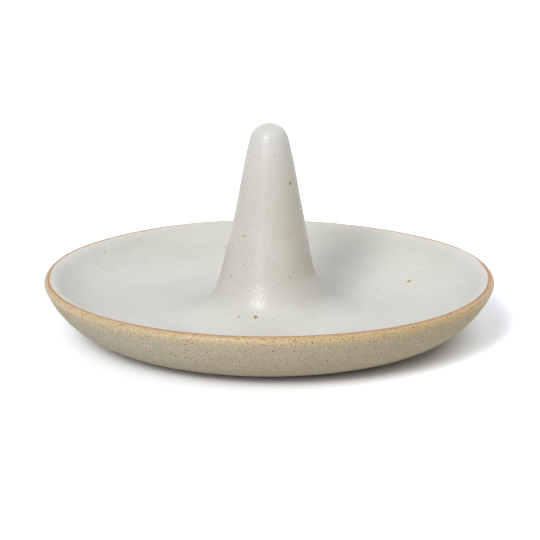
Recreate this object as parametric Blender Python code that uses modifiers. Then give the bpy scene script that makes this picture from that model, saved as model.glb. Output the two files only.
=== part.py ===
"""Ring cone: a shallow stoneware saucer with a hollow clay cone standing on its floor.

Every piece is turned about +Z. The table is at z = 0 and the turning axis at x = y = 0.
The glazed surface is drawn first, from the cone's tip to the lip, and each piece under it
takes its shape from that curve, at the depth where it lies.
"""

from math import asin, atan2, cos, pi, radians, sin

import bpy
from mathutils import Vector

# Overall sizes, in metres
LIP_RADIUS = 0.0600
LIP_HEIGHT = 0.01625
TIP_HEIGHT = 0.0571
BOWL_HEIGHT = 0.0050

# Lip: the glaze stops inside the outer ridge and leaves a band of bare clay
BARE_BAND = 0.0013
RIDGE_DROP = 0.0013
BAND_FULLNESS = 0.6
LIP_ROUND = 0.0028
LIP_LEAN = radians(45)

# Bowl: how far its wall keeps its lean, and how far out its floor stays level
WALL_REACH = 0.0065
FLOOR_REACH = 0.0140

# Cone: the visible, glazed shape
TIP_RADIUS = 0.00527
TIP_LEAN = radians(14.4)
ROOT_RADIUS = 0.01398
ROOT_HEIGHT = 0.0077
ROOT_LEAN = radians(15.4)
TIP_EASE = 0.286
ROOT_EASE = 0.576

# Flare: the hollow sweep from the cone's root to the bowl's floor
FLARE_RADIUS = 0.0291
FLARE_TOP_EASE = 0.529
FLARE_FOOT_EASE = 0.507

# Saucer: its outside wall, foot ring and underside
WALL_BULGE = 0.0039
FOOT_RADIUS = 0.0380
FOOT_WIDTH = 0.0045
FOOT_HEIGHT = 0.0005
FOOT_DRAFT = 0.0004
RECESS_HEIGHT = 0.0013
VENT_RADIUS = 0.0035

# Layers: glaze over clay, and the clearance between pieces that touch
GLAZE = 0.0005
GAP = 0.0003
CONE_WALL = 0.0042
HOLLOW_TIP_RADIUS = 0.0012
COIL_EDGE = 0.00025

# How finely the curves are cut up
AROUND = 56
DOME_STEPS = 5
SIDE_STEPS = 6
FLARE_STEPS = 8
BOWL_STEPS = 8
LIP_STEPS = 4
BAND_STEPS = 3
WALL_STEPS = 8
SHARP_ANGLE = radians(35)
AXIS_MERGE = 0.00005
CLOSEST_STEP = 0.2
HALVINGS = 30

COVER = GLAZE + GAP
GLAZE_EDGE_RADIUS = LIP_RADIUS - BARE_BAND
RIDGE_HEIGHT = LIP_HEIGHT - RIDGE_DROP
CLAY_FLOOR = BOWL_HEIGHT - COVER


def srgb(red, green, blue):
    """A colour of 0 to 255 per channel, as the linear values a shader takes."""

    def linear(channel):
        share = channel / 255
        return share / 12.92 if share <= 0.04045 else ((share + 0.055) / 1.055) ** 2.4

    return (linear(red), linear(green), linear(blue), 1.0)


FINISHES = {
    "saucer": (srgb(172, 162, 140), 0.85),
    "cone": (srgb(176, 166, 145), 0.85),
    "joint_coil": (srgb(166, 155, 133), 0.90),
    "glaze_coat": (srgb(217, 215, 208), 0.42),
}


def heading(lean):
    """The direction of a wall that runs down and out, at this lean from upright."""
    return Vector((sin(lean), -cos(lean)))


def bezier_at(control, t):
    """The point and the unit tangent at t, by de Casteljau's construction."""
    level = control
    while len(level) > 2:
        level = [a.lerp(b, t) for a, b in zip(level, level[1:])]
    return level[0].lerp(level[1], t), (level[1] - level[0]).normalized()


def bezier(control, steps):
    return [bezier_at(control, step / steps) for step in range(steps + 1)]


def arc(centre, radius, start, end, steps):
    """Points and unit tangents along an arc that turns clockwise from start to end."""
    angles = [start + (end - start) * step / steps for step in range(steps + 1)]
    return [
        (centre + radius * Vector((cos(a), sin(a))), Vector((sin(a), -cos(a))))
        for a in angles
    ]


def bulged(start, end, bulge, steps):
    """Points along the arc from start to end that stands out by bulge, left of its chord."""
    half = (end - start).length / 2
    radius = (half**2 + bulge**2) / (2 * bulge)
    along = (end - start).normalized()
    left = Vector((-along.y, along.x))
    centre = (start + end) / 2 - left * (radius - bulge)
    spread = asin(half / radius)
    middle = atan2(left.y, left.x)
    return [point for point, _ in arc(centre, radius, middle + spread, middle - spread, steps)]


def inward(sample, depth):
    """The point that lies this deep under a sample of the glazed surface."""
    point, along = sample
    return point + depth * Vector((along.y, -along.x))


def underneath(samples, depth):
    return [inward(sample, depth) for sample in samples]


def first_t(point_at, reached):
    """The smallest t at which the point on a curve is reached, by halving the interval."""
    low, high = 0.0, 1.0
    for _ in range(HALVINGS):
        middle = (low + high) / 2
        if reached(point_at(middle)):
            high = middle
        else:
            low = middle
    return high


def dome_samples():
    """The cone's round tip, from the axis to where its side begins."""
    centre = Vector((0, TIP_HEIGHT - TIP_RADIUS))
    return arc(centre, TIP_RADIUS, pi / 2, TIP_LEAN, DOME_STEPS)


def root_point():
    return Vector((ROOT_RADIUS, BOWL_HEIGHT + ROOT_HEIGHT))


def side_samples():
    """The cone's side: steep under the tip, slightly hollow below, down to the root."""
    top = dome_samples()[-1][0]
    root = root_point()
    length = (root - top).length
    control = [
        top,
        top + heading(TIP_LEAN) * length * TIP_EASE,
        root - heading(ROOT_LEAN) * length * ROOT_EASE,
        root,
    ]
    return bezier(control, SIDE_STEPS)


def flare_control():
    """The hollow sweep from the cone's root to the level floor."""
    root = root_point()
    foot = Vector((FLARE_RADIUS, BOWL_HEIGHT))
    drop = ROOT_HEIGHT / cos(ROOT_LEAN)
    reach = FLARE_RADIUS - ROOT_RADIUS
    return [
        root,
        root + heading(ROOT_LEAN) * drop * FLARE_TOP_EASE,
        foot - Vector((reach * FLARE_FOOT_EASE, 0)),
        foot,
    ]


def lip_control():
    """The lip's inner round, from the bowl's wall up to the crest at the glaze's edge."""
    crest = Vector((GLAZE_EDGE_RADIUS, LIP_HEIGHT))
    corner = crest - Vector((LIP_ROUND / 2, 0))
    return [corner - LIP_ROUND * Vector((sin(LIP_LEAN), cos(LIP_LEAN))), corner, crest]


def bowl_control():
    """The bowl, from its level floor to the top of its leaning wall."""
    floor_start = Vector((FLARE_RADIUS, BOWL_HEIGHT))
    wall_top = lip_control()[0]
    return [
        floor_start,
        floor_start + Vector((FLOOR_REACH, 0)),
        wall_top - WALL_REACH * Vector((sin(LIP_LEAN), cos(LIP_LEAN))),
        wall_top,
    ]


def bowl_samples():
    """The glazed bowl, from the flare's foot to the glaze's edge."""
    return bezier(bowl_control(), BOWL_STEPS) + bezier(lip_control(), LIP_STEPS)[1:]


def glazed_samples():
    """The whole glazed surface, from the cone's tip to the glaze's edge."""
    return (
        dome_samples()
        + side_samples()[1:]
        + bezier(flare_control(), FLARE_STEPS)[1:]
        + bowl_samples()[1:]
    )


def glaze_profile():
    """One even coat: over the cone, down the flare, across the bowl and up to the lip."""
    samples = glazed_samples()
    top = [point for point, _ in samples]
    return top + underneath(reversed(samples), GLAZE)


def cone_outside():
    """The clay cone's outside, on past the root to the foot that stands on the floor."""
    points = underneath(dome_samples() + side_samples()[1:], COVER)
    root = points[-1]
    run = (root.y - CLAY_FLOOR - GAP) / cos(ROOT_LEAN)
    return points + [root + heading(ROOT_LEAN) * run]


def cone_profile():
    """A hollow shell, open at its foot, with an even wall up to the solid tip."""
    outside = cone_outside()
    foot = outside[-1] - Vector((CONE_WALL / cos(ROOT_LEAN), 0))
    walls = underneath(reversed(side_samples()), COVER + CONE_WALL)
    inside = [point for point in walls if point.x > HOLLOW_TIP_RADIUS]
    hollow_top = Vector((0, inside[-1].y + inside[-1].x))
    return outside + [foot] + inside + [hollow_top]


def coil_profile():
    """The coil's section: it fills the corner of the cone's foot and the floor, less the gaps."""
    control = flare_control()
    foot = cone_outside()[-1]
    out = Vector((cos(ROOT_LEAN), sin(ROOT_LEAN)))
    bed = CLAY_FLOOR + GAP

    def face_at(t):
        return inward(bezier_at(control, t), COVER)

    start = first_t(face_at, lambda p: (p - foot).dot(out) > GAP + COIL_EDGE)
    end = first_t(face_at, lambda p: p.y < bed + COIL_EDGE)
    margin = CLOSEST_STEP / FLARE_STEPS
    grid = [step / FLARE_STEPS for step in range(FLARE_STEPS)]
    inner = [t for t in grid if start + margin < t < end - margin]
    face = [face_at(t) for t in [start, *inner, end]]
    corner = foot + Vector((GAP / cos(ROOT_LEAN), bed - foot.y))
    return face + [Vector((face[-1].x, bed)), corner, face[0] - out * COIL_EDGE]


def lip_band():
    """The bare clay that rounds off the lip, from beside the glaze's edge to the ridge."""
    crest = Vector((GLAZE_EDGE_RADIUS, LIP_HEIGHT))
    ridge = Vector((LIP_RADIUS, RIDGE_HEIGHT))
    corner = Vector((LIP_RADIUS, LIP_HEIGHT))
    shoulder = ((crest + ridge) / 2).lerp(corner, BAND_FULLNESS)
    control = [crest, shoulder, ridge]

    def band_at(t):
        return bezier_at(control, t)[0]

    start = first_t(band_at, lambda p: p.x > GLAZE_EDGE_RADIUS + GAP)
    return [band_at(start + (1 - start) * step / BAND_STEPS) for step in range(BAND_STEPS + 1)]


def saucer_profile():
    """The saucer, from its lip down the outside, under the foot and back up the bowl."""
    band = lip_band()
    wall_foot = Vector((FOOT_RADIUS, FOOT_HEIGHT))
    wall = bulged(band[-1], wall_foot, WALL_BULGE, WALL_STEPS)[1:]
    foot_inside = FOOT_RADIUS - FOOT_WIDTH
    underside = [
        Vector((FOOT_RADIUS - FOOT_DRAFT, 0)),
        Vector((foot_inside, 0)),
        Vector((foot_inside - FOOT_DRAFT, RECESS_HEIGHT)),
        Vector((VENT_RADIUS, RECESS_HEIGHT)),
    ]
    bowl = underneath(bowl_samples(), COVER)
    rebate = Vector((band[0].x, bowl[-1].y))
    return band + wall + underside + [Vector((VENT_RADIUS, CLAY_FLOOR))] + bowl + [rebate]


def finish(name):
    """The piece's own material, from its colour and roughness."""
    colour, roughness = FINISHES[name]
    material = bpy.data.materials.new(name)
    material.use_nodes = True
    shader = material.node_tree.nodes["Principled BSDF"]
    shader.inputs["Base Color"].default_value = colour
    shader.inputs["Roughness"].default_value = roughness
    shader.inputs["Metallic"].default_value = 0.0
    material.diffuse_color = colour
    return material


def turned(name, outline, closed, collection):
    """A solid turned about +Z from an outline that runs down its outer side.

    A closed outline makes a ring. An open one starts and ends on the axis.
    """
    points = [(point.x, 0, point.y) for point in outline]
    edges = [(index, index + 1) for index in range(len(points) - 1)]
    if closed:
        edges.append((len(points) - 1, 0))
    guide_mesh = bpy.data.meshes.new(name + "_outline")
    guide_mesh.from_pydata(points, edges, [])
    guide = bpy.data.objects.new(name + "_outline", guide_mesh)
    collection.objects.link(guide)
    screw = guide.modifiers.new("turn", "SCREW")
    screw.axis = "Z"
    screw.angle = 2 * pi
    screw.steps = AROUND
    screw.render_steps = AROUND
    screw.use_merge_vertices = True
    screw.merge_threshold = AXIS_MERGE
    view = bpy.context.evaluated_depsgraph_get()
    mesh = bpy.data.meshes.new_from_object(guide.evaluated_get(view))
    bpy.data.objects.remove(guide)
    bpy.data.meshes.remove(guide_mesh)
    mesh.name = name
    mesh.shade_smooth()
    mesh.set_sharp_from_angle(angle=SHARP_ANGLE)
    mesh.materials.append(finish(name))
    piece = bpy.data.objects.new(name, mesh)
    collection.objects.link(piece)
    return piece


def clear_scene():
    for thing in list(bpy.data.objects):
        bpy.data.objects.remove(thing)


def main():
    clear_scene()
    collection = bpy.data.collections.new("ring_cone")
    bpy.context.scene.collection.children.link(collection)
    axis = bpy.data.objects.new("turning_axis", None)
    collection.objects.link(axis)
    pieces = [
        turned("saucer", saucer_profile(), True, collection),
        turned("cone", cone_profile(), False, collection),
        turned("joint_coil", coil_profile(), True, collection),
        turned("glaze_coat", glaze_profile(), False, collection),
    ]
    for piece in pieces:
        piece.parent = axis


main()
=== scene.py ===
"""Looks of a ring cone: a stoneware saucer with a hollow cone under one coat of glaze.

The glaze and the saucer are fine surfaces turned about +Z from one section, which runs from
the cone's tip over the flare, the bowl and the lip, down the outside wall and under the foot.
Lengths are in metres. Patterns in the finishes work in millimetres.
"""

import logging
from dataclasses import dataclass
from enum import Enum
from functools import cache, cached_property
from math import ceil, comb, cos, pi, radians, sin

import bmesh
import bpy
import numpy as np
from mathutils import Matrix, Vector
from mathutils.bvhtree import BVHTree


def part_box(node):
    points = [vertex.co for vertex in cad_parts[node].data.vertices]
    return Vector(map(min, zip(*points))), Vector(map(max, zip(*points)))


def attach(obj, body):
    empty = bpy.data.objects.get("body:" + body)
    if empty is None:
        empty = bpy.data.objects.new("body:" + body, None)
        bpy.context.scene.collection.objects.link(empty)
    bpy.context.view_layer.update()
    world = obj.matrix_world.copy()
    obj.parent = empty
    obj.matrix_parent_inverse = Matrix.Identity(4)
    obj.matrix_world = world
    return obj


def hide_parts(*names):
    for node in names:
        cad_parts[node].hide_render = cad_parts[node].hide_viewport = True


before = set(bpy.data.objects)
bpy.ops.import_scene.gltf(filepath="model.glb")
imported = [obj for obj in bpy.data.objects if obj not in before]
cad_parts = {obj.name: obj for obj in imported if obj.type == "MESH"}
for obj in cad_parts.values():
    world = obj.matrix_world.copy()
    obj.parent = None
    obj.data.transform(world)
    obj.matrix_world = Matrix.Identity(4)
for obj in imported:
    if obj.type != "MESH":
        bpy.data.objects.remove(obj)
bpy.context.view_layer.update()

BODY = "root"
MM = 0.001
LOG = logging.getLogger("ring_cone")

# The pot is turned in this many steps, closest together where the glaze has run.
RING_COUNT = 384
RING_FOCUS = radians(18)
RING_PULL = 0.5

# How far inside the lip's crest the glaze stops.
GLAZE_INSET = 0.00035

# The middle of an iron speck, as shares of its radius: where it begins and is full.
CORE_RIM = 0.6
CORE_FULL = 0.2

# A place times this is level with the foot, as far out as it was.
LEVEL = (1.0, 1.0, 0.0)

# The Mix node's sockets for colours share their names with others, so they go by number:
# the share, the first colour and the second one, and then the result.
MIX_INPUTS = (0, 6, 7)
MIX_RESULT = 2

Colour = tuple[int, int, int]
Socket = bpy.types.NodeSocket

# Radii and heights, as arrays of one shape.
Pair = tuple[np.ndarray, np.ndarray]

# Where an eased rise is 0, and where it is 1.
Span = tuple[float, float]


class Slot(Enum):
    """The record's material slots."""

    BARE = "bare_stoneware"
    COVERED = "covered_stoneware"
    GLAZE = "speckled_glaze"


class Ends(Enum):
    """How a turned surface closes: at a pole on the axis at both ends, or onto itself."""

    POLES = "poles"
    LOOP = "loop"


def srgb(colour: Colour) -> tuple[float, float, float, float]:
    """Turn a colour as it is seen into the linear values that a shader takes.

    Its numbers are those of the sRGB curve.

    Args:
        colour: red, green and blue, 0 to 255.

    Returns:
        The linear red, green and blue, and an alpha of 1.
    """
    share = np.array(colour) / 255
    linear = np.where(share <= 0.04045, share / 12.92, ((share + 0.055) / 1.055) ** 2.4)
    return (*linear.tolist(), 1.0)


def smooth(share: np.ndarray | float) -> np.ndarray:
    """Ease from 0 to 1: 3t² − 2t³ of the share, held between 0 and 1."""
    held = np.clip(share, 0, 1)
    return held * held * (3 - 2 * held)


def eased(value: np.ndarray, span: Span) -> np.ndarray:
    """An eased rise from 0 at the span's first value to 1 at its second."""
    first, second = span
    return smooth((value - first) / (second - first))


def degrees_from(middle: float, angles: np.ndarray) -> np.ndarray:
    """How far angles in radians lie past a middle in degrees: −180 to 180 degrees."""
    return (np.degrees(angles) - middle + 180) % 360 - 180


def bezier(control: list[np.ndarray], count: int = 400) -> np.ndarray:
    """Points of a Bezier curve: the control points weighted by Bernstein polynomials.

    Args:
        control: the control points, in order.
        count: how many points to work out.

    Returns:
        The points, one row each, evenly spaced in the curve's parameter.
    """
    t = np.linspace(0, 1, count)[:, None]
    degree = len(control) - 1
    weights = [comb(degree, k) * t**k * (1 - t) ** (degree - k) for k in range(degree + 1)]
    return sum(weight * point for weight, point in zip(weights, control))


def arc(
    centre: np.ndarray, radius: float, start: float, end: float, count: int = 400
) -> np.ndarray:
    """Points of an arc: centre + radius · (cos a, sin a), a going evenly from start to end.

    Args:
        centre: the arc's centre, in radius and height.
        radius: the arc's radius.
        start: the first angle.
        end: the last angle.
        count: how many points to work out.

    Returns:
        The points, one row each.
    """
    angle = np.linspace(start, end, count)
    return centre + radius * np.column_stack([np.cos(angle), np.sin(angle)])


def heading(lean: float) -> np.ndarray:
    """The direction of a wall that runs down and out, at this lean from upright."""
    return np.array([sin(lean), -cos(lean)])


def lengths_along(line: np.ndarray) -> np.ndarray:
    """The length of a line from its first point up to each point."""
    steps = np.linalg.norm(np.diff(line, axis=0), axis=1)
    return np.concatenate([[0], np.cumsum(steps)])


def softened(line: np.ndarray, reach: float) -> np.ndarray:
    """Round a line's corners: each point is the Gaussian mean of its neighbours.

    Before its first point the line goes on as its mirror image across the axis, and past its
    last point as its mirror image in that point, so both ends stay where they are. The mean
    takes in four standard deviations on either side.

    Args:
        line: evenly spaced points of radius and height, the first one on the axis.
        reach: the Gaussian's standard deviation, in points.

    Returns:
        As many points, softened.
    """
    half = ceil(4 * reach)
    weights = np.exp(-0.5 * (np.arange(-half, half + 1) / reach) ** 2)
    weights /= weights.sum()
    before = line[half:0:-1] * (-1, 1)
    after = 2 * line[-1] - line[-2 : -half - 2 : -1]
    padded = np.concatenate([before, line, after])
    return np.column_stack([np.convolve(padded[:, k], weights, mode="valid") for k in (0, 1)])


class Section:
    """A softened line in the half plane of radius and height, addressed by its length."""

    def __init__(self, runs: list[np.ndarray], spacing: float, softness: float) -> None:
        """Join the runs, space their points evenly and soften the corners.

        Args:
            runs: lines that follow each other from the axis outwards.
            spacing: the distance between the section's points.
            softness: how far a corner is softened, as a standard deviation.
        """
        joined = np.concatenate([runs[0], *[run[1:] for run in runs[1:]]])
        raw = lengths_along(joined)
        even = np.linspace(0, raw[-1], round(raw[-1] / spacing))
        spaced = np.column_stack([np.interp(even, raw, joined[:, k]) for k in (0, 1)])
        self.line = softened(spaced, softness / spacing)
        self.length = lengths_along(self.line)
        along = np.gradient(self.line, self.length, axis=0)
        along /= np.linalg.norm(along, axis=1)[:, None]
        self.normal = np.column_stack([-along[:, 1], along[:, 0]])
        run_ends = np.cumsum([lengths_along(run)[-1] for run in runs])
        self.run_ends = np.interp(run_ends, even, self.length)

    def place(self, along: np.ndarray, lift: np.ndarray | float = 0.0) -> Pair:
        """Find the points at these lengths, moved off the line by lift along its normal.

        Args:
            along: lengths from the tip.
            lift: how far each point stands out of the section, negative for under it.

        Returns:
            The radius and the height of each point.
        """
        parts = []
        for k in (0, 1):
            point = np.interp(along, self.length, self.line[:, k])
            parts.append(point + lift * np.interp(along, self.length, self.normal[:, k]))
        return parts[0], parts[1]

    def stations(self, start: float, end: float, count: int, bend_pull: float) -> np.ndarray:
        """Spread lengths from start to end, closer together where the line bends.

        They are even steps of the length plus bend_pull times the angle turned so far, read
        off a line with four steps to each point of the section.

        Args:
            start: the first length.
            end: the last length.
            count: how many lengths to give.
            bend_pull: the length that one radian of bend counts for.

        Returns:
            The lengths, in rising order.
        """
        inside = np.linspace(start, end, 4 * len(self.length))
        turned = np.unwrap(np.arctan2(self.normal[:, 1], self.normal[:, 0]))
        bend = np.concatenate([[0], np.cumsum(np.abs(np.diff(turned)))])
        effort = inside + bend_pull * np.interp(inside, self.length, bend)
        return np.interp(np.linspace(effort[0], effort[-1], count), effort, inside)


@dataclass(frozen=True)
class PotSizes:
    """The sizes of the pot's section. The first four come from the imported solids.

    Leans are from upright. The eases, dome_flat, dome_round and band_fullness say how far a
    curve's inner control points reach, as shares of a length.
    """

    lip_radius: float
    crest_radius: float
    tip_height: float
    floor_under_glaze: float
    lip_height: float = 0.01625
    ridge_drop: float = 0.0015
    band_fullness: float = 0.70
    lip_round: float = 0.0028
    lip_lean: float = radians(45)
    wall_reach: float = 0.0065
    floor_reach: float = 0.0140
    tip_radius: float = 0.00527
    tip_lean: float = radians(14.4)
    dome_flat: float = 0.60
    dome_round: float = 0.365
    root_radius: float = 0.01398
    root_height: float = 0.0077
    root_lean: float = radians(15.4)
    tip_ease: float = 0.286
    root_ease: float = 0.576
    flare_radius: float = 0.0291
    flare_top_ease: float = 0.529
    flare_foot_ease: float = 0.507
    wall_bulge: float = 0.0039
    foot_radius: float = 0.0380
    foot_width: float = 0.0045
    foot_height: float = 0.0005
    foot_draft: float = 0.0004
    recess_height: float = 0.0013
    vent_radius: float = 0.0035
    glaze: float = 0.0005
    gap: float = 0.0003
    spacing: float = 0.00004
    softness: float = 0.00042

    @classmethod
    def from_frame(cls) -> "PotSizes":
        """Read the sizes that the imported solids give.

        Returns:
            All the sizes, the others as chosen.
        """
        saucer_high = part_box("saucer")[1]
        glaze_low, glaze_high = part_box("glaze_coat")
        return cls(saucer_high.x, glaze_high.x, glaze_high.z, glaze_low.z)

    @property
    def bowl_height(self) -> float:
        """The height of the bowl's glazed floor."""
        return self.floor_under_glaze + self.glaze

    @property
    def clay_floor(self) -> float:
        """The height of the saucer's clay floor."""
        return self.floor_under_glaze - self.gap

    def cone_runs(self) -> list[np.ndarray]:
        """The dome, the cone's side and the flare, as cubic curves.

        Returns:
            The three lines, from the tip down.
        """
        pole = np.array([0, self.tip_height])
        top = pole + self.tip_radius * np.array([cos(self.tip_lean), sin(self.tip_lean) - 1])
        dome = [
            pole,
            pole + (self.tip_radius * self.dome_flat, 0),
            top - heading(self.tip_lean) * self.tip_radius * self.dome_round,
            top,
        ]
        root = np.array([self.root_radius, self.bowl_height + self.root_height])
        length = np.linalg.norm(root - top)
        side = [
            top,
            top + heading(self.tip_lean) * length * self.tip_ease,
            root - heading(self.root_lean) * length * self.root_ease,
            root,
        ]
        foot = np.array([self.flare_radius, self.bowl_height])
        drop = self.root_height / cos(self.root_lean)
        reach = self.flare_radius - self.root_radius
        flare = [
            root,
            root + heading(self.root_lean) * drop * self.flare_top_ease,
            foot - (reach * self.flare_foot_ease, 0),
            foot,
        ]
        return [bezier(dome), bezier(side), bezier(flare)]

    def bowl_runs(self) -> list[np.ndarray]:
        """The bowl as a cubic curve and the lip's inner round as a quadratic one.

        Returns:
            The two lines, up to the lip's crest.
        """
        crest = np.array([self.crest_radius, self.lip_height])
        corner = crest - (self.lip_round / 2, 0)
        uphill = np.array([sin(self.lip_lean), cos(self.lip_lean)])
        wall_top = corner - self.lip_round * uphill
        floor = np.array([self.flare_radius, self.bowl_height])
        bowl = [floor, floor + (self.floor_reach, 0), wall_top - self.wall_reach * uphill, wall_top]
        return [bezier(bowl), bezier([wall_top, corner, crest])]

    def outside_runs(self) -> list[np.ndarray]:
        """The bare band as a quadratic curve, then the outside wall as an arc on its chord.

        Returns:
            The two lines, from the lip's crest to the foot.
        """
        crest = np.array([self.crest_radius, self.lip_height])
        ridge = np.array([self.lip_radius, self.lip_height - self.ridge_drop])
        corner = np.array([self.lip_radius, self.lip_height])
        middle = (crest + ridge) / 2
        shoulder = middle + (corner - middle) * self.band_fullness
        foot = np.array([self.foot_radius, self.foot_height])
        chord = foot - ridge
        half = np.linalg.norm(chord) / 2
        radius = (half**2 + self.wall_bulge**2) / (2 * self.wall_bulge)
        left = np.array([-chord[1], chord[0]]) / (2 * half)
        centre = (ridge + foot) / 2 - left * (radius - self.wall_bulge)
        middle_angle = np.arctan2(left[1], left[0])
        spread = np.arcsin(half / radius)
        wall = arc(centre, radius, middle_angle + spread, middle_angle - spread)
        return [bezier([crest, shoulder, ridge]), wall]

    def underside_runs(self) -> list[np.ndarray]:
        """The foot ring, the recess and the vent hole, as straight lines.

        Returns:
            The five lines, from the foot's outside to the vent hole's top.
        """
        foot_inside = self.foot_radius - self.foot_width
        corners = np.array(
            [
                (self.foot_radius, self.foot_height),
                (self.foot_radius - self.foot_draft, 0),
                (foot_inside, 0),
                (foot_inside - self.foot_draft, self.recess_height),
                (self.vent_radius, self.recess_height),
                (self.vent_radius, self.clay_floor),
            ]
        )
        return [np.array(pair) for pair in zip(corners, corners[1:])]

    def section(self) -> Section:
        """The whole section, from the cone's tip to the vent hole's top."""
        runs = self.cone_runs() + self.bowl_runs() + self.outside_runs() + self.underside_runs()
        return Section(runs, self.spacing, self.softness)


class Mark(Enum):
    """Named ends of the section's runs, by their place in the list of runs."""

    FLARE_FOOT = 2
    CREST = 4
    RIDGE = 5


@dataclass(frozen=True)
class GlazeRun:
    """A stretch of the lip where the glaze stops further out, or further in if reach is negative.

    Angles are in degrees from +X towards the back. It grows from start over start_blend, and
    dies away over end_blend before end.
    """

    start: float
    end: float
    start_blend: float
    end_blend: float
    reach: float

    def over(self, degrees: np.ndarray) -> np.ndarray:
        """How far the run reaches at these angles: reach times an eased rise and fall."""
        rise = smooth((degrees - self.start) / self.start_blend)
        return self.reach * rise * smooth((self.end - degrees) / self.end_blend)


@dataclass(frozen=True)
class GlazeEdge:
    """Where the glaze stops round the lip, as a length along the section at each angle."""

    nominal: float
    wander: float = 0.00007
    waves: tuple[int, ...] = (3, 5, 8, 13, 21, 34, 55)
    least: float = 0.5
    fade: float = 20.0
    seed: int = 7
    runs: tuple[GlazeRun, ...] = (
        GlazeRun(8.0, 25.5, 7.0, 1.2, 0.00020),
        GlazeRun(22.2, 25.2, 1.0, 1.0, 0.0007),
        GlazeRun(25.0, 172.0, 2.0, 30.0, -0.00035),
    )

    def at(self, angles: np.ndarray) -> np.ndarray:
        """The nominal edge, plus a sum of sine waves of random phase, plus the runs.

        A wave's height is wander times a random share from least to 1, and the more waves
        there are to a turn, the lower they are.

        Args:
            angles: angles from +X, in radians.

        Returns:
            The length along the section at each angle.
        """
        draw = np.random.default_rng(self.seed)
        phases = draw.uniform(0, 2 * pi, len(self.waves))
        heights = draw.uniform(self.least, 1.0, len(self.waves)) * self.wander
        sway = sum(
            height / (1 + wave / self.fade) * np.sin(wave * angles + phase)
            for wave, phase, height in zip(self.waves, phases, heights)
        )
        degrees = degrees_from(0.0, angles)
        return self.nominal + sway + sum(run.over(degrees) for run in self.runs)


@dataclass(frozen=True)
class Hump:
    """A height at a middle angle, or a depth if it is negative, eased to 0 over its reach.

    The middle and the reach are in degrees.
    """

    middle: float
    reach: float
    height: float

    def over(self, angles: np.ndarray) -> np.ndarray:
        """The hump's height at these angles, which are in radians."""
        away = np.abs(degrees_from(self.middle, angles))
        return self.height * smooth(1 - away / self.reach)


@dataclass(frozen=True)
class UnevenLip:
    """The lip isn't quite level: it stands higher at the back and lower at the front right."""

    humps: tuple[Hump, ...] = (
        Hump(112, 60, 0.00040),
        Hump(160, 28, 0.00030),
        Hump(24, 26, 0.00030),
        Hump(-42, 44, -0.00026),
    )
    onset: Span = (0.040, 0.058)

    def lift(self, radius: np.ndarray, angles: np.ndarray) -> np.ndarray:
        """How far points at these radii, a row for each angle, are lifted: the humps, eased in."""
        lip = sum(hump.over(angles) for hump in self.humps)
        return lip[:, None] * eased(radius, self.onset)


@dataclass(frozen=True)
class Swell:
    """Heights where the cone stands further out, or further in if reach is negative."""

    foot: float
    middle: float
    top: float
    reach: float

    def over(self, height: np.ndarray) -> np.ndarray:
        """How far it reaches at these heights: reach times an eased rise and fall."""
        rise = eased(height, (self.foot, self.middle))
        return self.reach * rise * eased(height, (self.top, self.middle))


@dataclass(frozen=True)
class UnevenCone:
    """The cone isn't quite round: its flare starts early, and above it the right side is flat."""

    flare: Swell = Swell(0.0060, 0.0110, 0.0168, 0.00034)
    flat: Swell = Swell(0.0122, 0.0178, 0.0320, -0.00068)
    side: Hump = Hump(0.0, 95.0, 1.0)
    onset: Span = (0.024, 0.018)

    def shift(self, radius: np.ndarray, height: np.ndarray, angles: np.ndarray) -> np.ndarray:
        """How far points, a row for each angle, move outwards: the flare and the side's flat."""
        flattened = self.side.over(angles)[:, None] * self.flat.over(height)
        return eased(radius, self.onset) * (self.flare.over(height) + flattened)


@dataclass(frozen=True)
class Coat:
    """How the clay and the glaze share the section's thickness.

    The clay lies under the glazed section by the glaze's thickness. Towards the lip's crest
    that depth shrinks to thin_edge, and from there to nothing at the ridge.
    """

    sizes: PotSizes
    section: Section
    thin_edge: float = 0.00012
    settle: float = 0.0030
    bead: float = 0.00035
    tuck: float = 0.00002
    hide_from: float = 0.0015
    hide_over: float = 0.0025
    uneven: UnevenLip = UnevenLip()
    uneven_cone: UnevenCone = UnevenCone()

    def mark(self, mark: Mark) -> float:
        """The length along the section at a named place."""
        return self.section.run_ends[mark.value]

    def clay_depth(self, along: np.ndarray) -> np.ndarray:
        """How deep the clay lies: an eased rise inwards of the crest, a fade on the band.

        Args:
            along: lengths along the section.

        Returns:
            The depth under the section at each length.
        """
        crest = self.mark(Mark.CREST)
        band = self.mark(Mark.RIDGE) - crest
        inside = smooth((crest - along) / self.settle)
        outside = smooth(1 - (along - crest) / band)
        return self.thin_edge * outside + (self.sizes.glaze - self.thin_edge) * inside

    def hidden_drop(self, along: np.ndarray) -> np.ndarray:
        """How much lower the clay lies where the glaze hides it: the gap that joins keep."""
        crest = self.mark(Mark.CREST)
        return self.sizes.gap * smooth((crest - self.hide_from - along) / self.hide_over)

    def glaze_lift(self, along: np.ndarray, from_edge: np.ndarray) -> np.ndarray:
        """Where the glaze's top lies off the section: on it, but rounded off at its edge.

        The coat's thickness is multiplied by a quarter ellipse over the bead's width.

        Args:
            along: lengths along the section.
            from_edge: how far in from the glaze's edge each one lies.

        Returns:
            The lift off the section at each length, negative for under it.
        """
        depth = self.clay_depth(along)
        share = np.clip(from_edge / self.bead, 0, 1)
        return np.maximum(depth, self.thin_edge) * np.sqrt(1 - (1 - share) ** 2) - depth

    def glaze_underside(self, along: np.ndarray) -> np.ndarray:
        """Where the glaze's underside lies off the section: just in the clay's surface."""
        return -self.clay_depth(along) - self.tuck


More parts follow.
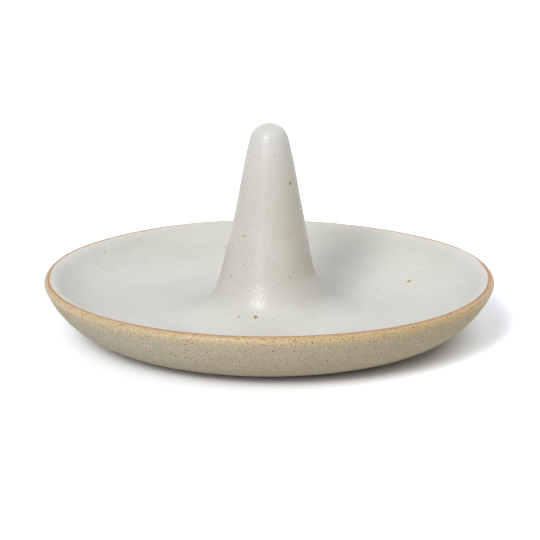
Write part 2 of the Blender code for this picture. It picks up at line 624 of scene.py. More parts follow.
def ring_angles(count: int, focus: float, pull: float) -> np.ndarray:
    """Angles round the pot, closer together near focus: u − pull · sin(u − focus), u even.

    Args:
        count: how many angles to give.
        focus: the angle where they are closest, in radians.
        pull: how much closer they are there, as a share of the even step.

    Returns:
        The angles, in rising order over one turn.
    """
    turn = 2 * pi * np.arange(count) / count
    return turn - pull * np.sin(turn - focus)


def turned_mesh(
    name: str, radius: np.ndarray, height: np.ndarray, angles: np.ndarray, ends: Ends
) -> bpy.types.Mesh:
    """Turn a grid of radii and heights about +Z: x = r · cos a, y = r · sin a, z = height.

    Rows are angles and columns are stations. Columns run down the outer side, so that the
    faces point outwards. With poles, the first and the last column are one point each.

    Args:
        name: the mesh's name.
        radius: the radius at each angle and station.
        height: the height at each angle and station.
        angles: the angle of each row.
        ends: how the surface closes.

    Returns:
        The closed mesh, shaded smooth.
    """
    across = np.cos(angles)[:, None]
    deep = np.sin(angles)[:, None]
    inner = slice(1, -1) if ends is Ends.POLES else slice(None)
    grid = np.stack([radius * across, radius * deep, height], axis=-1)[:, inner]
    rows, columns = grid.shape[:2]
    here = np.arange(rows * columns).reshape(rows, columns)
    beside = np.roll(here, -1, axis=0)
    if ends is Ends.LOOP:
        below, below_beside = np.roll(here, -1, axis=1), np.roll(beside, -1, axis=1)
        quads = np.stack([here, below, below_beside, beside], axis=-1)
        points = grid.reshape(-1, 3)
        faces = quads.reshape(-1, 4).tolist()
    else:
        quads = np.stack([here[:, :-1], here[:, 1:], beside[:, 1:], beside[:, :-1]], axis=-1)
        top = rows * columns
        poles = np.array([(0, 0, height[0, 0]), (0, 0, height[0, -1])])
        points = np.concatenate([grid.reshape(-1, 3), poles])
        top_fan = np.stack([np.full(rows, top), here[:, 0], beside[:, 0]], axis=-1)
        low_fan = np.stack([np.full(rows, top + 1), beside[:, -1], here[:, -1]], axis=-1)
        faces = quads.reshape(-1, 4).tolist() + top_fan.tolist() + low_fan.tolist()
    mesh = bpy.data.meshes.new(name)
    mesh.from_pydata(points.tolist(), [], faces)
    mesh.shade_smooth()
    return mesh


def add_piece(mesh: bpy.types.Mesh, material: bpy.types.Material, node: str) -> None:
    """Put a finished mesh in the scene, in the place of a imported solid.

    Args:
        mesh: the piece's mesh, which names it.
        material: its finish.
        node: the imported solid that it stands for.
    """
    mesh.materials.append(material)
    piece = bpy.data.objects.new(mesh.name, mesh)
    bpy.context.scene.collection.objects.link(piece)
    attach(piece, BODY)
    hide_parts(node)
    LOG.info("%s: %d faces", piece.name, len(mesh.polygons))


class Wiring:
    """Adds nodes to a node tree and joins them."""

    def __init__(self, tree: bpy.types.NodeTree) -> None:
        """Take the tree to work on."""
        self.tree = tree

    def feed(self, socket: Socket, value: Socket | float | tuple) -> None:
        """Join a socket to an output, or set its value.

        Args:
            socket: the input to feed.
            value: an output or a value.
        """
        if isinstance(value, bpy.types.NodeSocket):
            self.tree.links.new(value, socket)
        else:
            socket.default_value = value

    def add(self, kind: str, inputs: dict[str | int, object], **settings: object) -> bpy.types.Node:
        """Add a shader node.

        Args:
            kind: the node's type, without its ShaderNode prefix.
            inputs: an output or a value for each named or numbered input.
            settings: the node's own options.

        Returns:
            The node.
        """
        node = self.tree.nodes.new("ShaderNode" + kind)
        for name, value in settings.items():
            setattr(node, name, value)
        for name, value in inputs.items():
            self.feed(node.inputs[name], value)
        return node

    def math(self, operation: str, *values: Socket | float) -> Socket:
        """The result of a Math node."""
        return self.add("Math", dict(enumerate(values)), operation=operation).outputs[0]

    def ramp(self, value: Socket, low: Socket | float, high: Socket | float) -> Socket:
        """An eased rise from 0 where the value is low to 1 where it is high."""
        inputs = {"Value": value, "From Min": low, "From Max": high}
        return self.add("MapRange", inputs, interpolation_type="SMOOTHSTEP").outputs["Result"]

    def between(self, share: Socket, low: float, high: float) -> Socket:
        """A value that goes from low to high as the share goes from 0 to 1."""
        inputs = {"Value": share, "To Min": low, "To Max": high}
        return self.add("MapRange", inputs).outputs["Result"]

    def mix(
        self, share: Socket | float, first: object, second: object, blend: str = "MIX"
    ) -> Socket:
        """Two colours, mixed or blended by a share."""
        inputs = dict(zip(MIX_INPUTS, (share, first, second)))
        return self.add("Mix", inputs, data_type="RGBA", blend_type=blend).outputs[MIX_RESULT]

    def group(self, tree: bpy.types.NodeTree, inputs: dict[str, object]) -> bpy.types.Node:
        """A copy of a shared effect, with its inputs set."""
        return self.add("Group", inputs, node_tree=tree)

    @cached_property
    def place(self) -> Socket:
        """The place on the object, in millimetres."""
        place = self.add("TexCoord", {}).outputs["Object"]
        return self.add("VectorMath", {0: place, "Scale": 1 / MM}, operation="SCALE").outputs[0]

    @cached_property
    def from_axis(self) -> Socket:
        """How far the place lies from the pot's upright axis, in millimetres."""
        level = self.add("VectorMath", {0: self.place, 1: LEVEL}, operation="MULTIPLY").outputs[0]
        return self.add("VectorMath", {0: level}, operation="LENGTH").outputs["Value"]

    def noise(self, wavelength: float, detail: float = 2.0) -> Socket:
        """Noise about 0.5 over the object, with blobs this long in millimetres."""
        inputs = {"Vector": self.place, "Scale": 1 / wavelength, "Detail": detail}
        return self.add("TexNoise", inputs).outputs["Fac"]

    def wander(self, wavelength: float, sway: float, detail: float = 2.0) -> Socket:
        """Noise over the object from −sway to sway, with blobs this long in millimetres."""
        noise = self.noise(wavelength, detail)
        return self.math("MULTIPLY_ADD", noise, 2 * sway, -sway)

    def bump(self, shader: bpy.types.Node, height: Socket, distance: float = 1.0) -> None:
        """Make a shader's surface uneven, by a height times a distance in metres."""
        bump = self.add("Bump", {"Height": height, "Distance": distance})
        self.feed(shader.inputs["Normal"], bump.outputs["Normal"])


def new_effect(
    name: str, vectors: tuple[str, ...], values: tuple[str, ...], outputs: tuple[str, ...]
) -> tuple[Wiring, dict[str, Socket], dict[str, Socket]]:
    """Start a shared effect, a node group.

    Args:
        name: the group's name.
        vectors: the names of its inputs that are vectors.
        values: the names of its inputs that are values.
        outputs: the names of its outputs, which are all values.

    Returns:
        Its wiring, and its input and output sockets by name.
    """
    tree = bpy.data.node_groups.new(name, "ShaderNodeTree")
    sockets = [(socket, "INPUT", "NodeSocketVector") for socket in vectors]
    sockets += [(socket, "INPUT", "NodeSocketFloat") for socket in values]
    sockets += [(socket, "OUTPUT", "NodeSocketFloat") for socket in outputs]
    for socket, way, kind in sockets:
        tree.interface.new_socket(name=socket, in_out=way, socket_type=kind)
    source = tree.nodes.new("NodeGroupInput")
    target = tree.nodes.new("NodeGroupOutput")
    given = {socket: source.outputs[socket] for socket in vectors + values}
    made = {socket: target.inputs[socket] for socket in outputs}
    return Wiring(tree), given, made


@cache
def iron_specks() -> bpy.types.NodeTree:
    """Specks of iron: soft balls at the points of a Voronoi pattern, where the surface cuts them.

    The square of a random value sets each one's size, from smallest to largest, and another
    value drops it unless it is under the presence. Core is the middle of a speck, and Tint
    is one more random value for each.

    Returns:
        The effect, with its sizes in the unit of Place.
    """
    values = ("Cell", "Smallest", "Largest", "Softness", "Presence")
    outputs = ("Mask", "Core", "Tint")
    wiring, given, made = new_effect("iron_specks", ("Place",), values, outputs)
    density = wiring.math("DIVIDE", 1.0, given["Cell"])
    cells = wiring.add("TexVoronoi", {"Vector": given["Place"], "Scale": density})
    away = wiring.math("MULTIPLY", cells.outputs["Distance"], given["Cell"])
    random = wiring.add("SeparateColor", {"Color": cells.outputs["Color"]}).outputs
    spread = wiring.math("SUBTRACT", given["Largest"], given["Smallest"])
    growth = wiring.math("POWER", random["Red"], 2.0)
    radius = wiring.math("MULTIPLY_ADD", growth, spread, given["Smallest"])
    present = wiring.math("LESS_THAN", random["Green"], given["Presence"])
    solid = wiring.math("MULTIPLY", radius, wiring.math("SUBTRACT", 1.0, given["Softness"]))
    mask = wiring.ramp(away, radius, solid)
    core_rim = wiring.math("MULTIPLY", radius, CORE_RIM)
    core_full = wiring.math("MULTIPLY", radius, CORE_FULL)
    core = wiring.ramp(away, core_rim, core_full)
    wiring.feed(made["Mask"], wiring.math("MULTIPLY", mask, present))
    wiring.feed(made["Core"], wiring.math("MULTIPLY", core, present))
    wiring.feed(made["Tint"], random["Blue"])
    return wiring.tree


@cache
def fired_grain() -> bpy.types.NodeTree:
    """Uneven tone: 1 plus the contrast times noise that runs from −1 to 1.

    Returns:
        The effect, with its density as blobs to the unit of Place.
    """
    values = ("Density", "Detail", "Contrast")
    wiring, given, made = new_effect("fired_grain", ("Place",), values, ("Tone",))
    inputs = {"Vector": given["Place"], "Scale": given["Density"], "Detail": given["Detail"]}
    noise = wiring.add("TexNoise", inputs).outputs["Fac"]
    centred = wiring.math("MULTIPLY_ADD", noise, 2.0, -1.0)
    wiring.feed(made["Tone"], wiring.math("MULTIPLY_ADD", centred, given["Contrast"], 1.0))
    return wiring.tree


@cache
def landed_spot() -> bpy.types.NodeTree:
    """One spot at a known place: strength · (1 − distance / radius), or Before if more.

    Ragged stretches the distance, so that the spot isn't round.

    Returns:
        The effect, with its radius in the unit of Place.
    """
    vectors = ("Place", "Centre")
    values = ("Radius", "Strength", "Ragged", "Before")
    wiring, given, made = new_effect("landed_spot", vectors, values, ("Closeness",))
    ends = {0: given["Place"], 1: given["Centre"]}
    away = wiring.add("VectorMath", ends, operation="DISTANCE").outputs["Value"]
    stretched = wiring.math("MULTIPLY", away, given["Ragged"])
    share = wiring.math("DIVIDE", stretched, given["Radius"])
    closeness = wiring.math("MULTIPLY", wiring.math("SUBTRACT", 1.0, share), given["Strength"])
    wiring.feed(made["Closeness"], wiring.math("MAXIMUM", closeness, given["Before"]))
    return wiring.tree


def new_material(name: str, roughness: float) -> tuple[bpy.types.Material, Wiring, bpy.types.Node]:
    """Start a material.

    Args:
        name: the material's name.
        roughness: the shader's roughness, where nothing feeds it.

    Returns:
        The material, its wiring and its Principled shader.
    """
    material = bpy.data.materials.new(name)
    material.use_nodes = True
    shader = material.node_tree.nodes["Principled BSDF"]
    shader.inputs["Roughness"].default_value = roughness
    return material, Wiring(material.node_tree), shader


@dataclass(frozen=True)
class Grain:
    """Uneven tone: the size of its blobs in millimetres, its detail and its contrast."""

    wavelength: float
    detail: float
    contrast: float

    def over(self, wiring: Wiring, colour: Socket | tuple) -> Socket:
        """Lay the grain over a colour.

        Args:
            wiring: the material's wiring.
            colour: the colour under it.

        Returns:
            The grained colour.
        """
        inputs = {
            "Place": wiring.place,
            "Density": 1 / self.wavelength,
            "Detail": self.detail,
            "Contrast": self.contrast,
        }
        tone = wiring.group(fired_grain(), inputs).outputs["Tone"]
        grey = wiring.add("CombineXYZ", {0: tone, 1: tone, 2: tone}).outputs[0]
        return wiring.mix(1.0, colour, grey, "MULTIPLY")


@dataclass(frozen=True)
class Speckle:
    """One size of iron speck, in millimetres, its colour, and how strongly it shows."""

    tint: Colour
    cell: float
    smallest: float
    largest: float
    softness: float
    presence: float
    strength: float

    def on(self, wiring: Wiring) -> bpy.types.Node:
        """The speck effect at this size, placed in a material."""
        inputs = {
            "Place": wiring.place,
            "Cell": self.cell,
            "Smallest": self.smallest,
            "Largest": self.largest,
            "Softness": self.softness,
            "Presence": self.presence,
        }
        return wiring.group(iron_specks(), inputs)

    def over(self, wiring: Wiring, colour: Socket, where: Socket | float = 1.0) -> Socket:
        """Strew the specks over a colour.

        Args:
            wiring: the material's wiring.
            colour: the colour under them.
            where: a share from 0 to 1 that says where they lie.

        Returns:
            The speckled colour.
        """
        mask = self.on(wiring).outputs["Mask"]
        share = wiring.math("MULTIPLY", mask, self.strength)
        share = wiring.math("MULTIPLY", share, where)
        return wiring.mix(share, colour, srgb(self.tint))


@dataclass(frozen=True)
class Spot:
    """A spot that the photograph shows, by its column and row there.

    Its radius is in mm. Strength is how far it goes from a pale stain to dark iron.
    """

    column: float
    row: float
    radius: float
    strength: float


@dataclass(frozen=True)
class GlazeFinish:
    """Satin off-white glaze with iron specks, warmer where thin on the cone, with painted shade and
    highlights.

    Lengths are in mm, but for the heights of the peel and the ripple, which are in metres.
    Each reach is a span of distances from the axis. side_turn is one of X over that distance,
    which is never taken as less than side_guard, for the painted shade on the cone's right side,
    and limb_shade_turn one of the turn from the eye, for the painted shade on its edges.
    """

    body: Colour = (210, 209, 202)
    thin: Colour = (212, 208, 199)
    # Painted shade on the cone's right side, darker and warmer than the glaze there.
    warm_painted_shade: Colour = (200, 194, 177)
    # Paler glaze at the tip and on the lip's round: partly a painted highlight.
    tip: Colour = (217, 215, 209)
    # Painted shade on the cone where it turns away from the eye.
    painted_limb_shade: Colour = (184, 177, 155)
    iron: Colour = (196, 184, 122)
    iron_core: Colour = (132, 108, 38)
    gloss: float = 0.50
    roughness: Span = (0.27, 0.35)
    patch_wavelength: float = 4.0
    specks: Speckle = Speckle((166, 150, 100), 3.0, 0.16, 0.44, 0.7, 0.9, 0.75)
    pins: Speckle = Speckle((138, 130, 104), 1.3, 0.09, 0.22, 0.5, 0.75, 0.90)
    grains: tuple[Grain, ...] = (Grain(0.45, 3.0, 0.12), Grain(8.0, 2.0, 0.05))
    cone_heights: Span = (9.0, 22.0)
    cone_reach: Span = (21.0, 14.0)
    cloud_wavelength: float = 9.0
    cloud_sway: float = 3.0
    side_guard: float = 1.0
    side_sway: float = 0.8
    side_turn: Span = (0.1, 1.5)
    tip_highlight_heights: Span = (38.0, 56.0)
    lip_highlight_reach: Span = (55.5, 58.0)
    limb_shade_blend: float = 0.5
    limb_shade_turn: Span = (0.30, 1.0)
    limb_shade_share: float = 0.55
    spot_rim: Span = (0.0, 0.60)
    spot_core: Span = (0.35, 0.85)
    ragged_wavelength: float = 0.35
    ragged_least: float = 0.3
    ragged_spread: float = 1.4
    peel_wavelength: float = 0.4
    peel_height: float = 0.0000032
    ripple_wavelength: float = 0.65
    ripple_height: float = 0.00010
    ripple_reach: Span = (26.0, 18.0)

    def material(self, spots: list[tuple[Vector, Spot]]) -> bpy.types.Material:
        """Make the glaze.

        Args:
            spots: the spots of its own, each with its place on the pot in mm.

        Returns:
            The material.
        """
        material, wiring, shader = new_material("speckled_glaze", self.roughness[0])
        shader.inputs["Specular IOR Level"].default_value = self.gloss
        colour = self.ground(wiring)
        for grain in self.grains:
            colour = grain.over(wiring, colour)
        for speckle in (self.pins, self.specks):
            colour = speckle.over(wiring, colour)
        specks = self.specks.on(wiring).outputs
        core_share = wiring.math("MULTIPLY", specks["Core"], specks["Tint"])
        colour = wiring.mix(core_share, colour, srgb(self.iron_core))
        closeness = self.spot_chain(wiring, spots)
        for ends, iron in ((self.spot_rim, self.iron), (self.spot_core, self.iron_core)):
            colour = wiring.mix(wiring.ramp(closeness, *ends), colour, srgb(iron))
        wiring.feed(shader.inputs["Base Color"], colour)
        patches = wiring.noise(self.patch_wavelength)
        wiring.feed(shader.inputs["Roughness"], wiring.between(patches, *self.roughness))
        wiring.bump(shader, self.relief(wiring))
        return material

    def ground(self, wiring: Wiring) -> Socket:
        """The glaze's colour: off-white in the bowl and warmer on the cone, with painted shade to
        its right.

        The cone also has painted shade where it turns away from the eye, and the glaze is paler
        again at the tip and near the lip, which is partly a painted highlight.

        Args:
            wiring: the material's wiring.

        Returns:
            The colour.
        """
        axes = wiring.add("SeparateXYZ", {"Vector": wiring.place}).outputs
        out = wiring.from_axis
        cloud = wiring.noise(self.cloud_wavelength)
        sway = wiring.math("MULTIPLY_ADD", cloud, 2 * self.cloud_sway, -self.cloud_sway)
        level = wiring.math("ADD", axes["Z"], sway)
        up = wiring.ramp(level, *self.cone_heights)
        near = wiring.ramp(out, *self.cone_reach)
        cone = wiring.math("MULTIPLY", up, near)
        colour = wiring.mix(cone, srgb(self.body), srgb(self.thin))
        guarded = wiring.math("MAXIMUM", out, self.side_guard)
        side = wiring.math("DIVIDE", axes["X"], guarded)
        clouded = wiring.math("MULTIPLY_ADD", cloud, self.side_sway, side)
        # Painted shade: the cone's right side is made darker and warmer.
        painted_shade_right = wiring.ramp(clouded, *self.side_turn)
        colour = wiring.mix(wiring.math("MULTIPLY", painted_shade_right, cone), colour, srgb(self.warm_painted_shade))
        # Painted shade: the cone is darkened where it turns away from the eye.
        facing = wiring.add("LayerWeight", {"Blend": self.limb_shade_blend}).outputs["Facing"]
        painted_limb_shade = wiring.math("MULTIPLY", wiring.ramp(facing, *self.limb_shade_turn), cone)
        painted_limb_shade = wiring.math("MULTIPLY", painted_limb_shade, self.limb_shade_share)
        colour = wiring.mix(painted_limb_shade, colour, srgb(self.painted_limb_shade))
        # Partly a painted highlight: the glaze turns paler at the tip and near the lip.
        top = wiring.ramp(level, *self.tip_highlight_heights)
        lip = wiring.ramp(out, *self.lip_highlight_reach)
        return wiring.mix(wiring.math("MAXIMUM", top, lip), colour, srgb(self.tip))

    def spot_chain(self, wiring: Wiring, spots: list[tuple[Vector, Spot]]) -> Socket:
        """How close each place is to a spot: the spot's strength in its middle, 0 outside.

        Args:
            wiring: the material's wiring.
            spots: the spots, each with its place on the pot in mm.

        Returns:
            The closeness to whichever spot gives the most.
        """
        noise = wiring.noise(self.ragged_wavelength)
        ragged = wiring.math("MULTIPLY_ADD", noise, self.ragged_spread, self.ragged_least)
        closeness: Socket | float = 0.0
        for centre, spot in spots:
            inputs = {
                "Place": wiring.place,
                "Centre": centre,
                "Radius": spot.radius,
                "Strength": spot.strength,
                "Ragged": ragged,
                "Before": closeness,
            }
            closeness = wiring.group(landed_spot(), inputs).outputs["Closeness"]
        return closeness

    def relief(self, wiring: Wiring) -> Socket:
        """The glaze's relief: a fine peel all over, and ripples on and near the cone.

        Args:
            wiring: the material's wiring.

        Returns:
            The height in metres.
        """
        peel = wiring.noise(self.peel_wavelength)
        ripple = wiring.noise(self.ripple_wavelength)
        near = wiring.ramp(wiring.from_axis, *self.ripple_reach)
        ripple = wiring.math("MULTIPLY", ripple, near)
        ripple = wiring.math("MULTIPLY", ripple, self.ripple_height)
        return wiring.math("MULTIPLY_ADD", peel, self.peel_height, ripple)


@dataclass(frozen=True)
class BareClayFinish:
    """Bare stoneware: sandy, speckled with iron, and toasted where it borders the glaze.

    Lengths are in mm, but for the sand's height, which is in metres. The reach of the line,
    the toast, the sheen and the fringe is a span of distances past the glaze's edge.
    """

    edge_attribute: str
    body: Colour = (199, 189, 168)
    fringe: Colour = (209, 191, 159)
    toast: Colour = (203, 178, 137)
    warm_tint: Colour = (252, 249, 238)
    line: Colour = (184, 126, 66)
    gloss: float = 0.40
    rough_body: float = 0.88
    rough_toast: float = 0.38
    speckles: tuple[Speckle, ...] = (
        Speckle((152, 116, 72), 1.2, 0.14, 0.34, 0.8, 0.8, 0.70),
        Speckle((112, 94, 68), 0.55, 0.07, 0.16, 0.5, 0.9, 0.75),
        Speckle((92, 70, 50), 0.90, 0.10, 0.27, 0.4, 0.8, 0.90),
    )
    ochre_specks: Speckle = Speckle((150, 110, 56), 0.8, 0.12, 0.36, 0.7, 0.9, 1.0)
    grains: tuple[Grain, ...] = (Grain(0.42, 3.0, 0.52), Grain(2.8, 3.0, 0.08))
    fine_detail: float = 3.0
    stray_wavelength: float = 0.9
    stray_sway: float = 1.2
    uneven_wavelength: float = 1.5
    uneven_sway: float = 0.3
    line_reach: Span = (1.15, 0.45)
    toast_reach: Span = (2.4, 1.0)
    sheen_reach: Span = (3.6, 2.2)
    fringe_reach: Span = (4.7, 3.4)
    warm_across: Span = (-40.0, 55.0)
    warm_drift: float = 0.9
    flame: tuple[float, float, float] = (-0.1, -0.995, 0.0)
    flame_reach: Span = (-38.0, -8.0)
    faintest_line: float = 0.12
    sand_wavelength: float = 0.30
    sand_height: float = 0.000035

    def material(self) -> bpy.types.Material:
        """Make the bare clay: its ground, then grain, specks, the band's sheen and sand.

        Returns:
            The material.
        """
        material, wiring, shader = new_material("bare_stoneware", self.rough_body)
        shader.inputs["Specular IOR Level"].default_value = self.gloss
        edge = wiring.add("Attribute", {}, attribute_name=self.edge_attribute).outputs["Fac"]
        stray = wiring.wander(self.stray_wavelength, self.stray_sway, self.fine_detail)
        strayed = wiring.math("ADD", edge, stray)
        fringed = wiring.ramp(strayed, *self.fringe_reach)
        colour = wiring.mix(fringed, srgb(self.body), srgb(self.fringe))
        colour = self.toasted(wiring, colour, strayed)
        uneven = wiring.wander(self.uneven_wavelength, self.uneven_sway)
        lined = wiring.ramp(wiring.math("ADD", edge, uneven), *self.line_reach)
        lined = wiring.math("MULTIPLY", lined, self.flash(wiring))
        colour = wiring.mix(lined, colour, srgb(self.line))
        for grain in self.grains:
            colour = grain.over(wiring, colour)
        colour = self.ochre_specks.over(wiring, colour, fringed)
        for speckle in self.speckles:
            colour = speckle.over(wiring, colour)
        wiring.feed(shader.inputs["Base Color"], colour)
        sheen = wiring.ramp(strayed, *self.sheen_reach)
        roughness = wiring.between(sheen, self.rough_body, self.rough_toast)
        wiring.feed(shader.inputs["Roughness"], roughness)
        sand = wiring.noise(self.sand_wavelength, self.fine_detail)
        wiring.bump(shader, sand, self.sand_height)
        return material

    def toasted(self, wiring: Wiring, colour: Socket, strayed: Socket) -> Socket:
        """The colour toasted near the glaze, further out and a little warmer towards +X.

        Args:
            wiring: the material's wiring.
            colour: the clay's colour so far.
            strayed: how far each place lies past the glaze's edge, in mm, with a stray.

        Returns:
            The toasted colour.
        """
        across = wiring.add("SeparateXYZ", {"Vector": wiring.place}).outputs["X"]
        warm = wiring.ramp(across, *self.warm_across)
        drifted = wiring.math("MULTIPLY_ADD", warm, -self.warm_drift, strayed)
        toast = wiring.ramp(drifted, *self.toast_reach)
        colour = wiring.mix(toast, colour, srgb(self.toast))
        tinted = wiring.mix(1.0, colour, srgb(self.warm_tint), "MULTIPLY")
        return wiring.mix(warm, colour, tinted)

    def flash(self, wiring: Wiring) -> Socket:
        """How strong the line is: full on the side that the flame reached, faint behind.

        Args:
            wiring: the material's wiring.

        Returns:
            A share from faintest_line to 1.
        """
        inputs = {0: wiring.place, 1: self.flame}
        towards = wiring.add("VectorMath", inputs, operation="DOT_PRODUCT")
        facing = wiring.ramp(towards.outputs["Value"], *self.flame_reach)
        return wiring.math("MULTIPLY_ADD", facing, 1 - self.faintest_line, self.faintest_line)


@dataclass(frozen=True)
class CoveredClayFinish:
    """The clay under the glaze, which shows only where the pot is taken apart."""

    body: Colour = (176, 166, 145)
    roughness: float = 0.9
    grain: Grain = Grain(0.42, 3.0, 0.16)
    specks: Speckle = Speckle((98, 82, 60), 1.1, 0.06, 0.17, 0.5, 0.9, 0.7)

    def material(self) -> bpy.types.Material:
        """Make the covered clay.

        Returns:
            The material.
        """
        material, wiring, shader = new_material("covered_stoneware", self.roughness)
        colour = self.grain.over(wiring, srgb(self.body))
        colour = self.specks.over(wiring, colour)
        wiring.feed(shader.inputs["Base Color"], colour)
        return material


@dataclass(frozen=True)
class Photograph:
    """The camera that took the photograph, and the frame that its pixels are counted in."""

    side: int = 540
    lens: float = 175.0
    sensor: float = 36.0
    nearest: float = 0.01
    farthest: float = 100.0
    distance: float = 0.700
    elevation: float = radians(15.07)
    aim: tuple[float, float, float] = (0.00022, 0.0, 0.01720)

    @property
    def place(self) -> Vector:
        """Where the camera stands."""
        back = Vector((0, -cos(self.elevation), sin(self.elevation)))
        return Vector(self.aim) + back * self.distance

    def build(self) -> None:
        """Add the camera and make it the scene's."""
        data = bpy.data.cameras.new("studio_camera")
        data.lens = self.lens
        data.sensor_width = self.sensor
        data.clip_start = self.nearest
        data.clip_end = self.farthest
        camera = bpy.data.objects.new("studio_camera", data)
        camera.location = self.place
        camera.rotation_euler = (pi / 2 - self.elevation, 0, 0)
        bpy.context.scene.collection.objects.link(camera)
        bpy.context.scene.camera = camera

    def ray(self, column: float, row: float) -> Vector:
        """The direction from the camera through a place in the photograph.

        Args:
            column: pixels from the left.
            row: pixels from the top.

        Returns:
            The direction, one long.
        """
        reach = self.sensor / self.lens / self.side
        across = (column - self.side / 2) * reach
        up = (self.side / 2 - row) * reach
        ahead = Vector((0, cos(self.elevation), -sin(self.elevation)))
        over = Vector((0, sin(self.elevation), cos(self.elevation)))
        return (ahead + Vector((across, 0, 0)) + over * up).normalized()


@dataclass
class GlazeCoat:
    """The one coat of glaze from the cone's tip over the flare and the bowl to the lip."""

    coat: Coat
    edge: GlazeEdge
    finish: GlazeFinish
    photograph: Photograph
    angles: np.ndarray
    inner_stations: int = 148
    edge_stations: int = 26
    under_stations: int = 56
    under_crowding: float = 0.9
    under_share: float = 0.29
    edge_zone: float = 0.0040
    edge_spare: float = 0.0003
    edge_crowding: float = 2.2
    bend_pull: float = 0.004
    spots: tuple[Spot, ...] = (
        Spot(408.9, 281.3, 1.05, 1.1),
        Spot(255.7, 317.2, 0.74, 1.15),
        Spot(238.9, 316.6, 0.75, 0.65),
        Spot(290.3, 183.3, 0.70, 1.15),
        Spot(281.3, 186.5, 0.36, 0.6),
        Spot(244.1, 236.0, 0.55, 0.8),
        Spot(232.5, 245.5, 0.50, 0.75),
        Spot(231.4, 276.0, 0.52, 0.6),
        Spot(267.3, 209.8, 0.45, 0.5),
        Spot(291.2, 237.9, 0.38, 0.6),
        Spot(290.3, 277.3, 0.46, 0.6),
        Spot(269.5, 305.0, 0.40, 0.5),
        Spot(279.3, 155.0, 0.32, 0.5),
        Spot(275.7, 154.2, 0.32, 0.5),
        Spot(278.0, 137.0, 0.28, 0.4),
        Spot(58.8, 268.8, 0.65, 0.55),
        Spot(102.3, 267.2, 0.60, 0.6),
        Spot(99.9, 304.2, 0.55, 0.4),
        Spot(119.5, 290.2, 0.50, 0.4),
        Spot(139.3, 239.5, 0.50, 0.5),
        Spot(136.0, 239.5, 0.40, 0.4),
        Spot(146.5, 245.0, 0.40, 0.4),
        Spot(145.9, 259.3, 0.40, 0.4),
        Spot(145.4, 264.7, 0.35, 0.4),
        Spot(465.5, 261.5, 0.40, 0.45),
        Spot(468.3, 263.6, 0.40, 0.4),
        Spot(436.4, 266.6, 0.40, 0.45),
        Spot(432.0, 301.0, 0.40, 0.35),
    )

    def top_grid(self) -> Pair:
        """The lengths of the top's stations, and their distances in from the glaze's edge.

        The inner stations are the same all round. The last ones follow the edge: their
        distance from it is the zone's width times (1 − k / n) to the power of the crowding.

        Returns:
            Lengths along the section and distances from the edge, by angle and station.
        """
        ends = self.edge.at(self.angles)[:, None]
        last = ends.min() - self.edge_zone - self.edge_spare
        inner = self.coat.section.stations(0, last, self.inner_stations, self.bend_pull)
        inner = np.broadcast_to(inner, (len(self.angles), len(inner)))
        share = 1 - np.arange(self.edge_stations + 1) / self.edge_stations
        outer = ends - self.edge_zone * share**self.edge_crowding
        along = np.concatenate([inner, outer], axis=1)
        return along, ends - along

    def surface(self) -> bpy.types.Mesh:
        """The closed coat: the top from tip to edge, then the underside back to the axis.

        The top takes the cone's whole unevenness. The underside takes only a share of it, so
        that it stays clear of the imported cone. Its stations lie at the edge's length times
        (1 − k / n) to the power of the crowding.

        Returns:
            The mesh.
        """
        along, from_edge = self.top_grid()
        top = self.coat.section.place(along, self.coat.glaze_lift(along, from_edge))
        backwards = np.linspace(1, 0, self.under_stations + 1)[1:] ** self.under_crowding
        under = along[:, -1:] * backwards
        low = self.coat.section.place(under, self.coat.glaze_underside(under))
        radius, height = (np.concatenate(pair, axis=1) for pair in zip(top, low))
        height = height + self.coat.uneven.lift(radius, self.angles)
        follows = np.repeat((1.0, self.under_share), (along.shape[1], under.shape[1]))
        radius = radius + follows * self.coat.uneven_cone.shift(radius, height, self.angles)
        return turned_mesh("fired_glaze", radius, height, self.angles, Ends.POLES)

    def landed(self, mesh: bpy.types.Mesh) -> list[tuple[Vector, Spot]]:
        """Where the photograph's spots lie on the glaze, by a ray from the camera to each.

        Args:
            mesh: the glaze.

        Returns:
            The spots, each with its place in mm.
        """
        shape = bmesh.new()
        shape.from_mesh(mesh)
        tree = BVHTree.FromBMesh(shape)
        shape.free()
        found = []
        for spot in self.spots:
            ray = self.photograph.ray(spot.column, spot.row)
            hit = tree.ray_cast(self.photograph.place, ray)[0]
            if hit is None:
                LOG.warning("the spot at %.1f, %.1f misses the glaze", spot.column, spot.row)
            else:
                found.append((hit / MM, spot))
        return found

    def build(self) -> None:
        """Make the coat and its finish."""
        mesh = self.surface()
        material = self.finish.material(self.landed(mesh))
        add_piece(mesh, material, "glaze_coat")


@dataclass
class Saucer:
    """The stoneware saucer: bare band, ridge, outside wall, foot ring and hidden bowl."""

    coat: Coat
    edge: GlazeEdge
    finish: BareClayFinish
    angles: np.ndarray
    stations: int = 196
    bend_pull: float = 0.003

    def surface(self) -> bpy.types.Mesh:
        """The closed ring: the bowl's clay, the lip, the wall, the underside and the vent.

        Each point carries how far it lies past the glaze's edge, in millimetres.

        Returns:
            The mesh.
        """
        section = self.coat.section
        start, end = self.coat.mark(Mark.FLARE_FOOT), section.length[-1]
        along = section.stations(start, end, self.stations, self.bend_pull)
        drop = self.coat.clay_depth(along) + self.coat.hidden_drop(along)
        rows = (len(self.angles), len(along))
        radius, height = (np.broadcast_to(part, rows) for part in section.place(along, -drop))
        height = height + self.coat.uneven.lift(radius, self.angles)
        mesh = turned_mesh("fired_saucer", radius, height, self.angles, Ends.LOOP)
        past_edge = (along - self.edge.at(self.angles)[:, None]) / MM
        attribute = mesh.attributes.new(self.finish.edge_attribute, "FLOAT", "POINT")
        attribute.data.foreach_set("value", past_edge.astype(np.float32).ravel())
        return mesh

    def build(self) -> None:
        """Make the saucer and its finish."""
        add_piece(self.surface(), self.finish.material(), "saucer")


